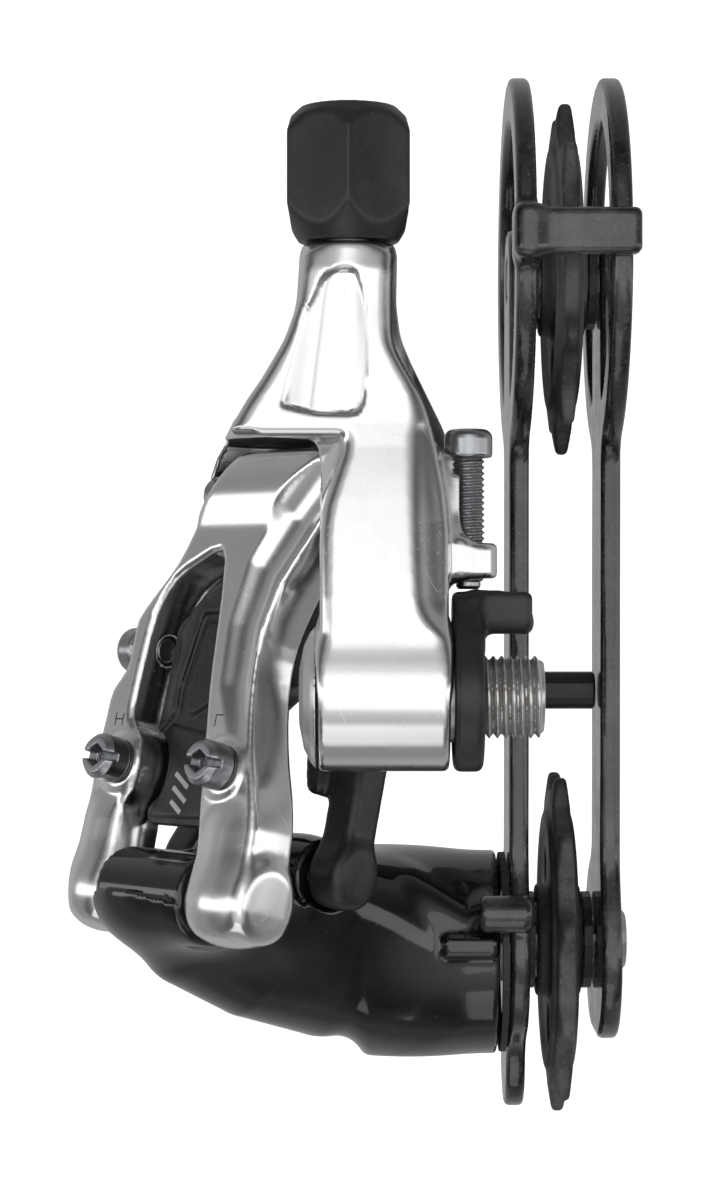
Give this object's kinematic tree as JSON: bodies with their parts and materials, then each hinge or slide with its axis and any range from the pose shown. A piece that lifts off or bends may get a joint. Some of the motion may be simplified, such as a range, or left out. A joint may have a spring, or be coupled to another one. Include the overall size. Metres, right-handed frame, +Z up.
{
  "type": "rear bicycle derailleur",
  "caption": "Rear bicycle derailleur with slant-parallelogram links, hanger bolt, sprung pulley cage and barrel adjuster; shifts and tensions a bicycle chain",
  "frame": {"origin": "on the hanger bolt's axis, in the face of the B-washer that meets the frame's hanger", "axes": "+X forward, +Y inboard towards the wheel along the hanger bolt, +Z up"},
  "size_m": [0.1391, 0.0733, 0.0772],
  "materials": {
    "polished_alloy": "forged aluminium, brushed and polished, soft scratches",
    "satin_alloy": "turned aluminium, satin",
    "zinc_steel": "zinc-plated steel with a little grime",
    "spring_steel": "dark oiled spring wire",
    "bronze": "sintered bronze bushing",
    "gloss_black": "piano-black composite with hairline scratches",
    "satin_black": "satin black",
    "filled_nylon": "fibre-filled nylon, dusty",
    "carbon": "lacquered woven carbon, worn at its edges",
    "worn_resin": "worn, dusty moulded resin",
    "rubber": "matte rubber"
  },
  "bodies": {
    "hanger": {"hanger_bolt": "satin_alloy", "bolt_clip": "spring_steel", "b_washer": "satin_black"},
    "knuckle": {"b_knuckle": "polished_alloy", "hanger_bushing": "bronze", "outer_rear_pin": "zinc_steel", "inner_rear_pin": "zinc_steel"},
    "b_screw": {"b_tension_screw": "zinc_steel"},
    "adjuster": {"barrel_adjuster": "satin_black", "adjuster_stem": "satin_alloy"},
    "outer_arm": {"outer_link": "polished_alloy", "link_plate": "filled_nylon", "outer_front_pin": "zinc_steel", "cable_anchor_washer": "zinc_steel", "cable_anchor_bolt": "zinc_steel"},
    "high_screw": {"limit_screw_high": "zinc_steel"},
    "low_screw": {"limit_screw_low": "zinc_steel"},
    "inner_arm": {"inner_link": "filled_nylon", "inner_front_pin": "zinc_steel", "return_spring": "spring_steel"},
    "cage_knuckle": {"p_knuckle": "gloss_black", "cage_bushing": "bronze", "cage_spring": "spring_steel", "cage_seal": "rubber"},
    "cage": {"cage_axle": "zinc_steel", "outer_cage_plate": "carbon", "inner_cage_plate": "carbon", "cage_rod": "satin_black", "guide_outer_dust_cover": "filled_nylon", "guide_inner_dust_cover": "filled_nylon", "guide_pulley_bolt": "zinc_steel", "tension_outer_dust_cover": "filled_nylon", "tension_inner_dust_cover": "filled_nylon", "tension_pulley_bolt": "zinc_steel"},
    "guide_wheel": {"guide_pulley": "worn_resin", "guide_bearing": "zinc_steel"},
    "tension_wheel": {"tension_pulley": "worn_resin", "tension_bearing": "zinc_steel"}
  },
  "joints": [
    {"name": "hanger_pivot", "type": "hinge", "parent": "hanger", "child": "knuckle", "pos_m": [0, 0, 0], "axis": [0, 1, 0], "range_deg": [0, 45]},
    {"name": "b_screw_turn", "type": "hinge", "parent": "knuckle", "child": "b_screw", "pos_m": [-0.0325, -0.0016, -0.004], "axis": [1, 0, 0], "range_deg": [-1080, 1080]},
    {"name": "adjuster_turn", "type": "hinge", "parent": "knuckle", "child": "adjuster", "pos_m": [-0.0715, -0.0162, -0.003], "axis": [1, 0, 0], "range_deg": [-1080, 1080]},
    {"name": "link_swing", "type": "hinge", "parent": "knuckle", "child": "outer_arm", "pos_m": [-0.025, -0.0245, -0.016], "axis": [0, 0.7071, 0.7071], "range_deg": [0, 56], "stiffness_Nm_per_rad": 0.6, "springref_deg": -34.38},
    {"name": "inner_link_swing", "type": "hinge", "parent": "knuckle", "child": "inner_arm", "pos_m": [-0.027, -0.01248, -0.02802], "axis": [0, 0.7071, 0.7071], "range_deg": [0, 56]},
    {"name": "cage_knuckle_swing", "type": "hinge", "parent": "outer_arm", "child": "cage_knuckle", "pos_m": [0.02501, -0.03878, -0.01232], "axis": [0, 0.7071, 0.7071], "range_deg": [-56, 0]},
    {"name": "high_screw_turn", "type": "hinge", "parent": "outer_arm", "child": "high_screw", "pos_m": [0.00989, -0.04236, -0.02133], "axis": [-0.2462, -0.6853, 0.6853], "range_deg": [-720, 720]},
    {"name": "low_screw_turn", "type": "hinge", "parent": "outer_arm", "child": "low_screw", "pos_m": [0.00989, -0.02864, -0.00761], "axis": [-0.2462, -0.6853, 0.6853], "range_deg": [-720, 720]},
    {"name": "cage_swing", "type": "hinge", "parent": "cage_knuckle", "child": "cage", "pos_m": [0.0353, 0, -0.037], "axis": [0, -1, 0], "range_deg": [0, 110], "stiffness_Nm_per_rad": 0.25, "springref_deg": -68.75},
    {"name": "guide_pulley_spin", "type": "hinge", "parent": "cage", "child": "guide_wheel", "pos_m": [0.0347, 0.0121, -0.045], "axis": [0, 1, 0], "continuous": true},
    {"name": "tension_pulley_spin", "type": "hinge", "parent": "cage", "child": "tension_wheel", "pos_m": [-0.0544, 0.0121, -0.037], "axis": [0, 1, 0], "continuous": true}
  ],
  "couplings": [
    {"joint": "inner_link_swing", "follows": "link_swing", "ratio": 1},
    {"joint": "cage_knuckle_swing", "follows": "link_swing", "ratio": -1}
  ]
}
